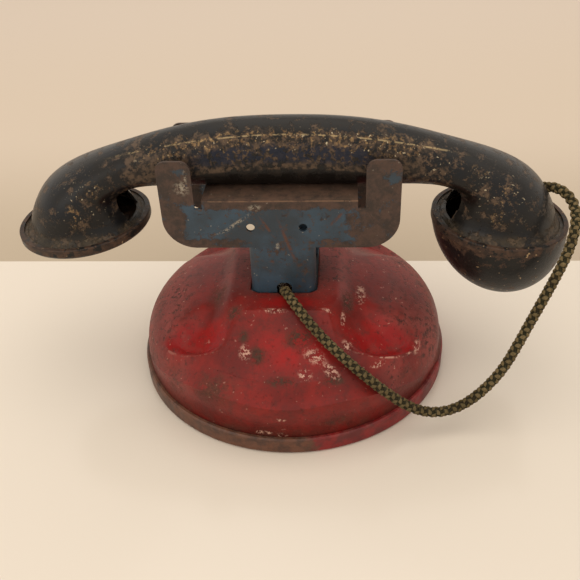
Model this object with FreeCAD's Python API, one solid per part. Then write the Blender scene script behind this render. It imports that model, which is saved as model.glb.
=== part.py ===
"""Pressed-steel toy telephone: round base with a bell movement, forked cradle, hand-set and cord.

Millimetres, +Z up. The origin is the middle of the base's underside. The dial faces +Y, and the
cord leaves the neck of the base on the -Y side. The earpiece end of the hand-set is at -X.
"""
import FreeCAD, Part
import math
import os

V = FreeCAD.Vector
X_AXIS = V(1, 0, 0)
Y_AXIS = V(0, 1, 0)
Z_AXIS = V(0, 0, 1)

# ---- Driving dimensions -------------------------------------------------------------------
SHEET = 0.8                 # steel sheet of the pressed shells

BASE_R = 54.0               # outside radius of the base pan
PAN_HEIGHT = 6.0            # the pan's upturned rim
DOME_R = 52.6               # outside radius of the base dome
DOME_SPRING_Z = 6.0         # where the dome starts to round over
DOME_TOP_Z = 33.5           # crown of the dome, under the plateau
DOME_ROUNDNESS = (2.22, 3.03)

NECK_X = -1.7               # the plateau and the cradle sit a little to one side of the dome
PLATEAU_WIDTH = 41.0
PLATEAU_DEPTH = 49.4
PLATEAU_Z = 35.0
PLATEAU_CORNER = 9.0
DIMPLE_R = 18.0
DIMPLE_DEPTH = 2.4
DIMPLE_AT = (29.0, 27.0, 27.3)

CRADLE_SHEET = 0.9
CRADLE_HALF_DEPTH = 14.4    # outside faces of the two cradle plates
PLATE_HALF_WIDTH = 37.3
PLATE_BOTTOM_Z = 52.4
DIAL_PLATE_BOTTOM_Z = 50.2  # the +Y plate reaches a little lower
PLATE_CORNER = 10.3
SHELF_TOP_Z = 69.6
SHELF_HALF_WIDTH = 24.2
EAR_INNER_X = 26.6
EAR_TOP_Z = 82.9
EAR_CORNER = 3.2
RELIEF_BOTTOM_Z = 66.6
STEM_HALF_WIDTH = 10.8
STEM_CORNER = 3.5
STEM_RETURN = 5.4           # how far each stem's edges turn in
PLATE_HOLE_R = 1.4
PLATE_HOLES_X = (-9.5, 7.1)
PLATE_HOLES_Z = 59.8

HANDLE_BOTTOM_Z = 69.9
BELL_X = 68.8               # centre of each bell's mouth
BELL_Z = 54.6
BELL_TILT = 4.0             # degrees that each mouth faces inwards
FLANGE_R = 21.0
FLANGE_BORE_R = 17.4
CAP_R = 22.0
MOUTH_CUP_DEPTH = 25.4
MOUTH_CUP_LEAN = 0.15       # sideways shift of the cup's bowl for each millimetre of depth
BELL_SLOT_HALF_WIDTH = 6.5
BELL_SLOT_Z = (57.6, 69.2)

SEAT_TILT = 38.0            # the dial's axis, in degrees from vertical towards +Y
SEAT_Y = 36.8
SEAT_Z = 25.5
SEAT_R = 20.0
WHEEL_R = 17.0
FINGER_HOLE_R = 2.5
FINGER_HOLE_CIRCLE = 12.7
FINGER_HOLES = 10
FINGER_HOLE_STEP = 30.0
SPINDLE_R = 1.5
RUNNING_GAP = 0.05
STAR_LOBES = 6
STAR_R = 6.5

GONG_R = 17.0
GONG_Y = -14.0              # in the dial seat's own plane, up the slope from its middle
GONG_CROWN = -17.0          # below the seat along its axis
GONG_HEIGHT = 7.0
PIVOT_AT = (11.0, 6.0)
HAMMER_AT = (17.0, -3.5)
HAMMER_R = 2.5
LEVER_TOP = -7.8
LEVER_BOTTOM = -8.8

CORD_R = 1.7
CORD_HOLE_GAP = 0.7         # the cord already bends as it leaves the bell
KNOT_R = 4.0
CORD_ROUTE = [
    (-1.7, -10.4, 27.6),
    (-1.7, -11.6, 32.0),
    (-1.3, -15.0, 36.2),
    (0.4, -20.4, 37.6),
    (3.4, -26.0, 37.1),
    (7.6, -31.2, 34.6),
    (12.0, -35.6, 32.0),
    (16.6, -39.2, 29.4),
    (21.4, -42.0, 26.2),
    (26.6, -43.8, 22.2),
    (32.2, -44.4, 17.2),
    (38.2, -44.2, 12.0),
    (44.6, -43.4, 8.4),
    (51.4, -42.0, 7.6),
    (57.8, -40.4, 10.0),
    (63.6, -38.2, 14.6),
    (68.6, -35.6, 20.2),
    (72.6, -32.2, 26.6),
    (76.6, -28.0, 32.8),
    (79.8, -26.4, 40.5),
    (83.1, -23.5, 46.6),
    (85.9, -21.4, 53.5),
    (88.5, -16.8, 58.2),
    (90.2, -10.6, 61.5),
    (89.8, -4.8, 63.8),
    (87.3, -0.6, 65.1),
    (83.6, 1.6, 65.2),
    (80.0, 2.4, 64.2),
]


# ---- General helpers ------------------------------------------------------------------------
def rounded_prism(half_x, half_y, corner, z_low, z_high, centre_x=0.0):
    """Upright prism with a rounded rectangle for its plan."""
    block = Part.makeBox(2 * half_x, 2 * half_y, z_high - z_low, V(centre_x - half_x, -half_y, z_low))
    return block.makeFillet(corner, edges_along(block, Z_AXIS))


def edges_along(shape, axis):
    """The straight edges of a shape that run along an axis."""
    found = []
    for edge in shape.Edges:
        direction = edge.valueAt(edge.LastParameter) - edge.valueAt(edge.FirstParameter)
        if direction.Length > 1e-6 and abs(abs(direction.normalize().dot(axis)) - 1) < 1e-6:
            found.append(edge)
    return found


def edges_at_z(shape, z):
    """The edges of a shape that lie wholly at one height."""
    return [e for e in shape.Edges if abs(e.BoundBox.ZMin - z) < 1e-4 and abs(e.BoundBox.ZMax - z) < 1e-4]


def turned(points):
    """Solid of revolution about Z from (radius, height) points joined by straight lines."""
    wire = Part.makePolygon([V(r, 0, z) for r, z in points] + [V(points[0][0], 0, points[0][1])])
    return Part.Face(wire).revolve(V(0, 0, 0), Z_AXIS, 360)


def tube(outer_r, inner_r, z_low, z_high):
    """Plain ring or sleeve about Z."""
    ring = Part.makeCylinder(outer_r, z_high - z_low, V(0, 0, z_low))
    return ring.cut(Part.makeCylinder(inner_r, z_high - z_low, V(0, 0, z_low)))


def on_seat(shape, x=0.0, y=0.0):
    """Move a piece from the dial seat's own frame, whose +Z is the dial's axis, to the base."""
    moved = shape.copy()
    moved.translate(V(x, y, 0))
    moved.rotate(V(0, 0, 0), X_AXIS, -SEAT_TILT)
    moved.translate(V(0, SEAT_Y, SEAT_Z))
    return moved


# ---- Base -----------------------------------------------------------------------------------
def dome(radius, top_z, bottom_z):
    """Solid dome whose wall is a superellipse standing on a short cylinder."""
    plan_power, rise_power = DOME_ROUNDNESS
    steps = 14
    curve_points = []
    for i in range(steps + 1):
        angle = math.pi / 2 * i / steps
        r = radius * max(math.cos(angle), 0.0) ** (2 / plan_power)
        z = DOME_SPRING_Z + (top_z - DOME_SPRING_Z) * math.sin(angle) ** (2 / rise_power)
        curve_points.append(V(r if i < steps else 0.0, 0, z))
    curve = Part.BSplineCurve()
    curve.interpolate(curve_points)
    outline = Part.Wire([
        Part.makeLine(V(0, 0, bottom_z), V(radius, 0, bottom_z)),
        Part.makeLine(V(radius, 0, bottom_z), V(radius, 0, DOME_SPRING_Z)),
        curve.toShape(),
        Part.makeLine(V(0, 0, top_z), V(0, 0, bottom_z)),
    ])
    return Part.Face(outline).revolve(V(0, 0, 0), Z_AXIS, 360)


def dimples(radius):
    """The four shallow hollows pressed round the dome, as balls to cut away."""
    x, y, z = DIMPLE_AT
    reach = math.hypot(x, y)
    rise = 1.9
    out = V(x / reach, y / reach, rise).normalize()
    shift = out * (DIMPLE_R - DIMPLE_DEPTH)
    balls = []
    for sx in (-1, 1):
        for sy in (-1, 1):
            balls.append(Part.makeSphere(radius, V(sx * (x + shift.x), sy * (y + shift.y), z + shift.z)))
    return balls


def base_form(inset, bottom_z):
    """The base's pressed form as a solid, drawn in by inset for the inside of the sheet."""
    body = dome(DOME_R - inset, DOME_TOP_Z - inset, bottom_z)
    for ball in dimples(DIMPLE_R + inset):
        body = body.cut(ball)
    plateau = rounded_prism(PLATEAU_WIDTH / 2 - inset, PLATEAU_DEPTH / 2 - inset, PLATEAU_CORNER - inset,
                            20.0, PLATEAU_Z - inset, NECK_X)
    plateau = plateau.makeFillet(2.0 - inset, edges_at_z(plateau, PLATEAU_Z - inset))
    body = body.fuse(plateau).cut(on_seat(Part.makeCylinder(SEAT_R + inset, 14.0, V(0, 0, -inset))))
    seat = Part.makeCylinder(SEAT_R - inset, 14.0, V(0, 0, -14.0 - inset))
    seat = seat.makeFillet(1.6 - inset, edges_at_z(seat, -inset))
    return body.fuse(on_seat(seat))


def base_shell():
    """Dome, neck plateau, dial seat and foot flange, pressed from one sheet."""
    shell = base_form(0.0, SHEET).cut(base_form(SHEET, -5.0))
    shell = shell.fuse(turned([
        (DOME_R - SHEET, SHEET), (BASE_R - SHEET, SHEET), (BASE_R - SHEET, 2 * SHEET), (DOME_R - SHEET, 2 * SHEET),
    ]))
    neck_hole = rounded_prism(STEM_HALF_WIDTH + 0.4, CRADLE_HALF_DEPTH + 0.7, STEM_CORNER + 0.5, 30.0, 40.0, NECK_X)
    cord_bay = Part.makeBox(6.0, 6.0, 10.0, V(NECK_X - 2.6, -17.6, 30.0))
    shell = shell.cut(neck_hole).cut(cord_bay.makeFillet(2.0, edges_along(cord_bay, Z_AXIS)))
    holes = [
        on_seat(Part.makeCylinder(3.0, 4.0, V(0, 0, -3.0))),
        on_seat(Part.makeCylinder(1.5, 4.0, V(0, 0, -3.0)), 0.0, GONG_Y),
        on_seat(Part.makeCylinder(1.0, 4.0, V(0, 0, -3.0)), *PIVOT_AT),
        on_seat(finger_stop_tenon(0.1)),
    ]
    for hole in holes:
        shell = shell.cut(hole)
    return shell.removeSplitter()


def base_pan():
    """Closing tray whose rim is pressed round the foot of the dome."""
    lip = DOME_R + 0.05
    return turned([
        (0, 0), (BASE_R - 0.6, 0), (BASE_R, 0.6), (BASE_R, PAN_HEIGHT - 0.5), (BASE_R - 0.5, PAN_HEIGHT),
        (lip, PAN_HEIGHT), (lip, PAN_HEIGHT - SHEET), (BASE_R - SHEET, PAN_HEIGHT - SHEET),
        (BASE_R - SHEET, SHEET), (0, SHEET),
    ])


# ---- Cradle ---------------------------------------------------------------------------------
def cradle_plate(side):
    """One upright plate of the cradle with its two ears; side is -1 for -Y and 1 for +Y."""
    inner_y = CRADLE_HALF_DEPTH - CRADLE_SHEET
    y_low = -CRADLE_HALF_DEPTH if side < 0 else inner_y
    bottom_z = PLATE_BOTTOM_Z if side < 0 else DIAL_PLATE_BOTTOM_Z
    bar = Part.makeBox(2 * PLATE_HALF_WIDTH, CRADLE_SHEET, SHELF_TOP_Z - bottom_z,
                       V(NECK_X - PLATE_HALF_WIDTH, y_low, bottom_z))
    low_edges = [e for e in edges_along(bar, Y_AXIS) if e.BoundBox.ZMax < bottom_z + 1]
    plate = bar.makeFillet(PLATE_CORNER, low_edges)
    ear_width = PLATE_HALF_WIDTH - EAR_INNER_X
    for left in (NECK_X - PLATE_HALF_WIDTH, NECK_X + EAR_INNER_X):
        ear = Part.makeBox(ear_width, CRADLE_SHEET, EAR_TOP_Z - RELIEF_BOTTOM_Z, V(left, y_low, RELIEF_BOTTOM_Z))
        top_edges = [e for e in edges_along(ear, Y_AXIS) if e.BoundBox.ZMin > EAR_TOP_Z - 1]
        plate = plate.fuse(ear.makeFillet(EAR_CORNER, top_edges))
    for left in (NECK_X - EAR_INNER_X, NECK_X + SHELF_HALF_WIDTH):
        relief = Part.makeBox(EAR_INNER_X - SHELF_HALF_WIDTH, 3.0, 6.0, V(left, y_low - 1.0, RELIEF_BOTTOM_Z))
        plate = plate.cut(relief)
    for hole_x in PLATE_HOLES_X:
        plate = plate.cut(Part.makeCylinder(PLATE_HOLE_R, 3.0, V(NECK_X + hole_x, y_low - 1.0, PLATE_HOLES_Z), Y_AXIS))
    return plate


def cradle_shelf():
    """The flat web that the handle rests on, with its two rounded folds."""
    shelf = Part.makeBox(2 * SHELF_HALF_WIDTH, 2 * CRADLE_HALF_DEPTH, SHELF_TOP_Z - RELIEF_BOTTOM_Z,
                         V(NECK_X - SHELF_HALF_WIDTH, -CRADLE_HALF_DEPTH, RELIEF_BOTTOM_Z))
    folds = [e for e in edges_along(shelf, X_AXIS) if e.BoundBox.ZMin > SHELF_TOP_Z - 0.1]
    shelf = shelf.makeFillet(1.3, folds)
    inner_half = CRADLE_HALF_DEPTH - CRADLE_SHEET
    hollow = Part.makeBox(2 * SHELF_HALF_WIDTH, 2 * inner_half, SHELF_TOP_Z - RELIEF_BOTTOM_Z,
                          V(NECK_X - SHELF_HALF_WIDTH, -inner_half, RELIEF_BOTTOM_Z - CRADLE_SHEET))
    folds = [e for e in edges_along(hollow, X_AXIS) if e.BoundBox.ZMin > SHELF_TOP_Z - CRADLE_SHEET - 0.1]
    return shelf.cut(hollow.makeFillet(0.5, folds))


def cradle_stems():
    """Two channel-shaped stems, with the cord's notch at the foot of the -Y one."""
    stems = rounded_prism(STEM_HALF_WIDTH, CRADLE_HALF_DEPTH, STEM_CORNER, PLATEAU_Z - SHEET, PLATE_BOTTOM_Z + 1.0, NECK_X)
    stems = stems.cut(rounded_prism(STEM_HALF_WIDTH - CRADLE_SHEET, CRADLE_HALF_DEPTH - CRADLE_SHEET,
                                    STEM_CORNER - CRADLE_SHEET, 30.0, 60.0, NECK_X))
    gap_half = CRADLE_HALF_DEPTH - STEM_RETURN
    stems = stems.cut(Part.makeBox(40, 2 * gap_half, 40, V(NECK_X - 20, -gap_half, 30)))
    notch = Part.makeBox(5.0, 4.0, 8.6, V(NECK_X - 2.2, -CRADLE_HALF_DEPTH - 2.0, 30.0))
    top_edges = [e for e in edges_along(notch, Y_AXIS) if e.BoundBox.ZMin > 38.0]
    return stems.cut(notch.makeFillet(2.0, top_edges))


def cradle_tabs():
    """Four tabs that pass through the clamp plate and are bent outwards under it."""
    tabs = []
    tab_width = 4.6
    foot_top = PLATEAU_Z - SHEET - 1.2
    foot_bottom = foot_top - CRADLE_SHEET
    for side in (-1, 1):
        face_y = side * CRADLE_HALF_DEPTH
        inner_y = side * (CRADLE_HALF_DEPTH - CRADLE_SHEET)
        for left in (-8.4, 3.8):
            upright_low = min(face_y, inner_y)
            tabs.append(Part.makeBox(tab_width, CRADLE_SHEET, PLATEAU_Z - foot_bottom,
                                     V(NECK_X + left, upright_low, foot_bottom)))
            foot_low = min(inner_y, inner_y + side * 5.0)
            tabs.append(Part.makeBox(tab_width, 5.0, CRADLE_SHEET, V(NECK_X + left, foot_low, foot_bottom)))
    return tabs


def cradle():
    """The whole cradle, folded from one blank."""
    body = cradle_shelf().fuse([cradle_plate(-1), cradle_plate(1), cradle_stems()] + cradle_tabs())
    return body.removeSplitter()


def neck_clamp_plate():
    """Stiffening plate under the plateau that the cradle's tabs are bent over."""
    top = PLATEAU_Z - SHEET
    plate = rounded_prism(15.0, 18.6, 3.0, top - 1.2, top, NECK_X)
    plate = plate.cut(Part.makeBox(14.0, 20.0, 3.0, V(NECK_X - 7.0, -10.0, top - 2.0)))
    plate = plate.cut(Part.makeBox(6.4, 12.0, 3.0, V(NECK_X - 2.9, -19.0, top - 2.0)))
    for side in (-1, 1):
        slot_low = CRADLE_HALF_DEPTH - CRADLE_SHEET if side > 0 else -CRADLE_HALF_DEPTH
        for left in (-8.4, 3.8):
            plate = plate.cut(Part.makeBox(4.6, CRADLE_SHEET, 3.0, V(NECK_X + left, slot_low, top - 2.0)))
    return plate


# ---- Hand-set -------------------------------------------------------------------------------
# Each section of the handle and bell runs from a point on its back to one on its inner side:
# (back x, back z, inner x, inner z, half width, curl), where curl is 1 where the lower edges turn in.
HANDSET_SECTIONS = [
    (0.0, 90.9, 0.0, HANDLE_BOTTOM_Z, 9.0, 1.0),
    (20.0, 90.0, 19.0, HANDLE_BOTTOM_Z, 9.0, 1.0),
    (39.0, 86.4, 36.0, HANDLE_BOTTOM_Z, 9.3, 1.0),
    (54.5, 81.6, 47.5, 69.4, 10.3, 0.8),
    (67.0, 77.0, 52.6, 67.6, 12.6, 0.4),
    (77.2, 71.4, 54.0, 64.8, 15.0, 0.1),
    (82.8, 65.0, 53.2, 61.4, 16.6, 0.0),
]
# Towards the mouth the bell is round: (height above the mouth, radius).
BELL_RINGS = [(4.6, 17.0), (2.6, 17.7), (1.2, 18.9), (0.4, 19.8)]
# Shape of a section's inner half, as shares of its half width and half height.
CURLED_HALF = [(1.0, 0.0), (1.0, 0.22), (0.97, 0.44), (0.85, 0.66), (0.70, 0.85), (0.50, 0.975), (0.0, 1.0)]


def bell_frame(side):
    """Centre, inward direction and upward axis of a bell's mouth."""
    tilt = math.radians(BELL_TILT)
    centre = V(side * BELL_X, 0, BELL_Z)
    inward = V(-side * math.cos(tilt), 0, math.sin(tilt))
    up = V(side * math.sin(tilt), 0, math.cos(tilt))
    return centre, inward, up


def section_points(section, inset):
    """Points round the +Y side of a section, from its back to its inner side."""
    back, inner, half_width, curl = section
    centre = (back + inner) * 0.5
    half_height = (back - inner).Length / 2 - inset
    across = (back - inner).normalize() * half_height
    steps = 2 * (len(CURLED_HALF) - 1)
    points = []
    for i in range(steps + 1):
        angle = math.pi * (0.5 - i / steps)
        wide, high = math.cos(angle), math.sin(angle)
        if i > steps // 2:
            curled_wide, curled_deep = CURLED_HALF[i - steps // 2]
            wide += curl * (curled_wide - wide)
            high += curl * (-curled_deep - high)
        y = (half_width - inset) * wide
        points.append(centre + across * high + V(0, y if 0 < i < steps else 0.0, 0))
    return points


def handset_form(inset):
    """Handle and both bells as one smooth solid, drawn in by inset for the inside of the sheet."""
    half = [(V(bx, 0, bz), V(ix, 0, iz), width, curl) for bx, bz, ix, iz, width, curl in HANDSET_SECTIONS]
    centre, inward, up = bell_frame(1)
    rings = BELL_RINGS if inset == 0 else BELL_RINGS + [(-2.0, BELL_RINGS[-1][1])]
    for height, radius in rings:
        middle = centre + up * height
        half.append((middle - inward * radius, middle + inward * radius, radius, 0.0))
    mirrored = [(V(-b.x, 0, b.z), V(-i.x, 0, i.z), width, curl) for b, i, width, curl in reversed(half[1:])]
    skin = Part.BSplineSurface()
    skin.interpolate([section_points(section, inset) for section in mirrored + half])
    far_side = skin.toShape()
    near_side = far_side.mirror(V(0, 0, 0), Y_AXIS)
    far_rims = sorted([e for e in far_side.Edges if e.BoundBox.YMax > 1], key=lambda e: e.BoundBox.XMin)
    near_rims = sorted([e for e in near_side.Edges if e.BoundBox.YMin < -1], key=lambda e: e.BoundBox.XMin)
    caps = [Part.Face(Part.Wire(list(pair))) for pair in zip(far_rims, near_rims)]
    skin_shell = Part.makeShell([far_side, near_side] + caps)
    skin_shell.sewShape()
    return Part.Solid(skin_shell.Shells[0])


def on_bell(shape, side):
    """Move a piece from a bell mouth's own frame, whose +Z points into the bell, to its place."""
    centre, _, _ = bell_frame(side)
    moved = shape.copy()
    moved.rotate(V(0, 0, 0), Y_AXIS, side * BELL_TILT)
    moved.translate(centre)
    return moved


def bell_flange():
    """Flat flange round a bell's mouth, with a narrow ledge inside the wall."""
    return Part.makeCylinder(FLANGE_R, SHEET).cut(Part.makeCylinder(FLANGE_BORE_R, SHEET))


def handset_shell():
    """Channel handle with a seam gap underneath, flared into a flanged bell at each end."""
    shell = handset_form(0.0).cut(handset_form(SHEET))
    slot_low, slot_high = BELL_SLOT_Z
    for side in (-1, 1):
        shell = shell.fuse(on_bell(bell_flange(), side))
        slot = Part.makeBox(16.0, 2 * BELL_SLOT_HALF_WIDTH, slot_high - slot_low,
                            V(52.0 * side - 8.0, -BELL_SLOT_HALF_WIDTH, slot_low))
        top_edges = [e for e in edges_along(slot, X_AXIS) if e.BoundBox.ZMin > slot_high - 0.1]
        shell = shell.cut(slot.makeFillet(3.0, top_edges))
    shell = shell.cut(Part.makeBox(96.0, 6.0, 5.0, V(-48.0, -3.0, HANDLE_BOTTOM_Z - 2.0)))
    exit_point = V(*CORD_ROUTE[-1])
    exit_direction = (V(*CORD_ROUTE[-2]) - exit_point).normalize()
    shell = shell.cut(Part.makeCylinder(CORD_R + CORD_HOLE_GAP, 14.0, exit_point, exit_direction))
    return shell.removeSplitter()


def crimped_rim():
    """Profile points of the hem that both caps wrap round a bell's flange, from inside to outside."""
    return [
        (CAP_R - SHEET, -0.9), (CAP_R - SHEET, 0.85), (20.4, 0.85), (20.4, 1.45), (CAP_R - 0.3, 1.5), (CAP_R, 1.2),
        (CAP_R, -0.9),
    ]


def sound_holes(circle_r, depth_low, depth_high):
    """A middle hole and a ring of six, as solids to cut away."""
    holes = [Part.makeCylinder(1.2, depth_high - depth_low, V(0, 0, depth_low))]
    for i in range(6):
        angle = math.radians(60 * i)
        spot = V(circle_r * math.cos(angle), circle_r * math.sin(angle), depth_low)
        holes.append(Part.makeCylinder(1.2, depth_high - depth_low, spot))
    return holes


def earpiece_cap():
    """Thin dished disc crimped over the earpiece bell."""
    cap = turned(crimped_rim() + [
        (CAP_R - 0.6, -1.7), (14.0, -1.7), (12.6, -0.9), (0.0, -0.9), (0.0, -0.2), (13.0, -0.2), (14.4, -0.9),
    ])
    for hole in sound_holes(6.0, -3.0, 1.0):
        cap = cap.cut(hole)
    return on_bell(cap, -1)


def mouthpiece_bowl(radius, depth):
    """Half ellipsoid hanging below the mouth's plane, leaning outwards as it deepens."""
    bowl = Part.makeSphere(1.0)
    matrix = FreeCAD.Matrix()
    matrix.scale(radius, radius, depth)
    matrix.A13 = -MOUTH_CUP_LEAN * depth
    bowl = bowl.transformGeometry(matrix)
    below = Part.makeBox(100, 100, 60, V(-50, -50, -60.9))
    return bowl.common(below)


def mouthpiece_cup():
    """Deep bowl crimped over the mouthpiece bell."""
    rim = turned(crimped_rim() + [(CAP_R - 0.5, -1.5), (20.4, -1.5), (20.4, -0.9)])
    bowl_r = CAP_R - 0.1
    bowl = mouthpiece_bowl(bowl_r, MOUTH_CUP_DEPTH).cut(mouthpiece_bowl(bowl_r - SHEET, MOUTH_CUP_DEPTH - SHEET))
    cup = rim.fuse(bowl)
    for hole in sound_holes(6.0, -40.0, -15.0):
        cup = cup.cut(hole)
    return on_bell(cup.removeSplitter(), 1)


# ---- Cord -----------------------------------------------------------------------------------
def cord_path():
    """Straight runs joined by tangent arcs, each arc as large as its two runs allow."""
    points = [V(*p) for p in CORD_ROUTE]
    edges = []
    radii = []
    start = points[0]
    for before, corner, after in zip(points, points[1:], points[2:]):
        into = (corner - before).normalize()
        out = (after - corner).normalize()
        half_turn = math.acos(max(-1.0, min(1.0, into.dot(out)))) / 2
        reach = 0.45 * min((corner - before).Length, (after - corner).Length)
        radius = reach / math.tan(half_turn)
        radii.append(radius)
        arc_start = corner - into * reach
        arc_end = corner + out * reach
        to_centre = (out - into).normalize()
        middle = corner + to_centre * (radius / math.cos(half_turn) - radius)
        edges.append(Part.LineSegment(start, arc_start).toShape())
        edges.append(Part.Arc(arc_start, middle, arc_end).toShape())
        start = arc_end
    edges.append(Part.LineSegment(start, points[-1]).toShape())
    return Part.Wire(edges), radii


def cord():
    """Braided cord from the knot in the base to the knot in the hand-set."""
    path, radii = cord_path()
    start = V(*CORD_ROUTE[0])
    direction = V(*CORD_ROUTE[1]) - start
    circle = Part.Wire([Part.Circle(start, direction, CORD_R).toShape()])
    solid = path.makePipeShell([circle], True, True)
    print("cord length %.1f, arc radii %s" % (path.Length, ", ".join("%.1f" % r for r in radii)))
    print("cord volume over section times length %.4f" % (solid.Volume / (math.pi * CORD_R ** 2 * path.Length)))
    return solid


def cord_knot(end, towards):
    """Overhand knot as a ball with a flat where the cord starts."""
    tip = V(*end)
    outwards = (V(*towards) - tip).normalize()
    ball = Part.makeSphere(KNOT_R, tip - outwards * (KNOT_R - 0.6))
    keep = Part.makeCylinder(2 * KNOT_R, 4 * KNOT_R, tip - outwards * 4 * KNOT_R, outwards)
    return ball.common(keep)


# ---- Dial -----------------------------------------------------------------------------------
def dial_number_plate():
    """Tin disc that carries the numbers, under the finger wheel."""
    return on_seat(tube(17.6, 3.0, 0.0, 0.4))


def dial_bushing():
    """Flanged eyelet that the spindle turns in."""
    bore = SPINDLE_R + RUNNING_GAP
    return on_seat(turned([
        (bore, -1.6), (4.2, -1.6), (4.2, -0.8), (3.0, -0.8), (3.0, 0.4), (4.5, 0.4), (4.5, 1.0), (bore, 1.0),
    ]))


def dial_finger_wheel():
    """Ten-hole finger wheel with a raised hub and a turned-down edge."""
    wheel = turned([
        (SPINDLE_R, 2.6), (4.6, 2.6), (7.0, 1.6), (WHEEL_R - 0.7, 1.6), (WHEEL_R - 0.7, 1.0), (WHEEL_R, 1.0),
        (WHEEL_R, 2.1), (WHEEL_R - 0.3, 2.3), (7.3, 2.3), (4.9, 3.3), (SPINDLE_R, 3.3),
    ])
    for i in range(FINGER_HOLES):
        angle = math.radians(-30.0 + FINGER_HOLE_STEP * i)
        spot = V(FINGER_HOLE_CIRCLE * math.cos(angle), -FINGER_HOLE_CIRCLE * math.sin(angle), 0)
        wheel = wheel.cut(Part.makeCylinder(FINGER_HOLE_R, 5.0, spot))
    return on_seat(wheel)


def dial_hub_washer():
    """Small washer between the finger wheel and the spindle's head."""
    return on_seat(tube(3.8, SPINDLE_R, 3.3, 3.7))


def dial_spindle():
    """Spindle with a riveted head at each end."""
    low = LEVER_BOTTOM
    return on_seat(turned([
        (0, low - 0.9), (2.4, low - 0.9), (2.4, low), (SPINDLE_R, low), (SPINDLE_R, 3.7), (2.9, 3.7), (2.5, 4.5),
        (1.4, 4.9), (0, 4.9),
    ]))


def dial_spacer_sleeve():
    """Sleeve that keeps the star wheel clear of the bushing."""
    return on_seat(tube(2.5, SPINDLE_R, LEVER_TOP, -1.75))


def trip_star_wheel():
    """Six-lobed wheel that trips the striker as the dial turns."""
    points = []
    root_r = 0.62 * STAR_R
    for i in range(STAR_LOBES):
        for offset, radius in ((-9, STAR_R), (9, STAR_R), (30, root_r)):
            angle = math.radians(360.0 / STAR_LOBES * i + offset)
            points.append(V(radius * math.cos(angle), radius * math.sin(angle), LEVER_BOTTOM))
    star = Part.Face(Part.makePolygon(points + [points[0]])).extrude(V(0, 0, LEVER_TOP - LEVER_BOTTOM))
    return on_seat(star.cut(Part.makeCylinder(SPINDLE_R, 4.0, V(0, 0, LEVER_BOTTOM - 1.0))))


FINGER_STOP_ANGLE = 62.0


def finger_stop_tenon(gap):
    """The stop's tenon, or with a gap the slot in the base that takes it."""
    tenon = Part.makeBox(1.0 + 2 * gap, 2.4 + 2 * gap, 4.0, V(18.0 - gap, -1.2 - gap, -3.0))
    tenon.rotate(V(0, 0, 0), Z_AXIS, FINGER_STOP_ANGLE)
    return tenon


def finger_stop():
    """Bent strip that reaches over the finger wheel, riveted through the base."""
    post = Part.makeBox(1.0, 3.0, 3.8, V(18.0, -1.5, 0.0))
    arm = Part.makeBox(7.6, 3.0, 0.8, V(11.4, -1.5, 3.0))
    tip = [e for e in edges_along(arm, Z_AXIS) if e.BoundBox.XMax < 12.0]
    stop = post.fuse(arm.makeFillet(1.4, tip))
    stop = stop.fuse(Part.makeBox(1.0, 2.4, 1.6, V(18.0, -1.2, -1.6)))
    stop = stop.fuse(Part.makeBox(2.2, 2.4, 0.8, V(16.8, -1.2, -1.6)))
    stop.rotate(V(0, 0, 0), Z_AXIS, FINGER_STOP_ANGLE)
    return on_seat(stop.removeSplitter())


# ---- Bell movement --------------------------------------------------------------------------
def gong():
    """Bell cup hung from its crown under the dial seat."""
    thickness = 1.0
    crown = GONG_CROWN
    rim = GONG_CROWN - GONG_HEIGHT
    outside = Part.Arc(V(GONG_R, 0, rim), V(0.86 * GONG_R, 0, crown - 1.9), V(0.55 * GONG_R, 0, crown)).toShape()
    inside_r = GONG_R - thickness
    inside_crown = crown - thickness
    inside = Part.Arc(V(0.52 * GONG_R, 0, inside_crown), V(0.81 * GONG_R, 0, crown - 2.6), V(inside_r, 0, rim)).toShape()
    outline = Part.Wire([
        Part.makeLine(V(1.6, 0, crown), V(1.6, 0, inside_crown)),
        Part.makeLine(V(1.6, 0, inside_crown), V(0.52 * GONG_R, 0, inside_crown)),
        inside,
        Part.makeLine(V(inside_r, 0, rim), V(GONG_R, 0, rim)),
        outside,
        Part.makeLine(V(0.55 * GONG_R, 0, crown), V(1.6, 0, crown)),
    ])
    return on_seat(Part.Face(outline).revolve(V(0, 0, 0), Z_AXIS, 360), 0.0, GONG_Y)


def gong_post():
    """Shouldered post riveted into the seat, with a stud for the gong's nut."""
    return on_seat(turned([
        (0, GONG_CROWN - 3.6), (1.6, GONG_CROWN - 3.6), (1.6, GONG_CROWN), (2.6, GONG_CROWN), (2.6, -SHEET),
        (1.5, -SHEET), (1.5, 0), (0, 0),
    ]), 0.0, GONG_Y)


def gong_nut():
    """Hexagon nut under the gong's crown."""
    top = GONG_CROWN - 1.0
    corners = [V(3.2 * math.cos(math.radians(60 * i)), 3.2 * math.sin(math.radians(60 * i)), top - 2.0) for i in range(7)]
    nut = Part.Face(Part.makePolygon(corners)).extrude(V(0, 0, 2.0))
    return on_seat(nut.cut(Part.makeCylinder(1.6, 4.0, V(0, 0, top - 3.0))), 0.0, GONG_Y)


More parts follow.
